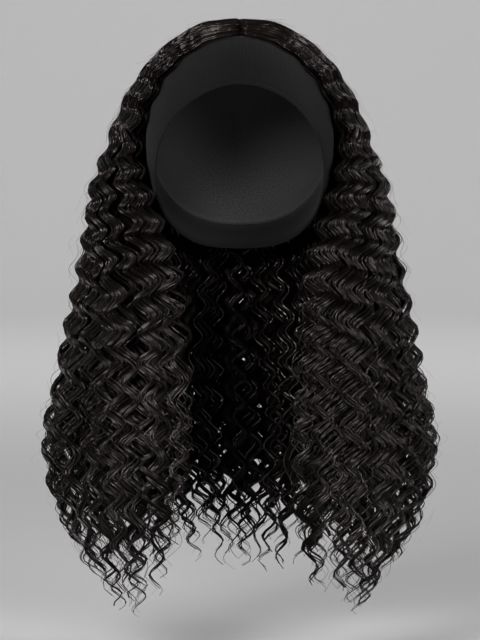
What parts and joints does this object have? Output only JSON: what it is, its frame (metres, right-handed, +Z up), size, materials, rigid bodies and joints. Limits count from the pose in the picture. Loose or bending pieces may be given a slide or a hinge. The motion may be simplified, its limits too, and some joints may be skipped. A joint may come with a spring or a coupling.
{
  "type": "half wig",
  "caption": "Headband half wig: a wide knit band and stretch cap that carry long deep-wave hair, parted in the middle, falling in front of and behind the shoulders.",
  "frame": {"origin": "inside of the cap at the crown, where the top of the wearer's head touches it", "axes": "+Z up, the face looks along -Y, +X towards the wearer's left"},
  "size_m": [0.3232, 0.2594, 0.4981],
  "materials": {
    "knit": "matte fine vertical rib knit, black",
    "cap": "matte stretch net with sewn hair rows, black",
    "hair": "satin black-brown deep-wave hair"
  },
  "bodies": {
    "root": {"headband": "knit", "stretch_cap": "cap", "front_hair_left": "hair", "front_hair_right": "hair", "side_hair_left": "hair", "side_hair_right": "hair", "rear_hair_left": "hair", "rear_hair_right": "hair", "back_hair_left": "hair", "back_hair_right": "hair"}
  },
  "joints": []
}
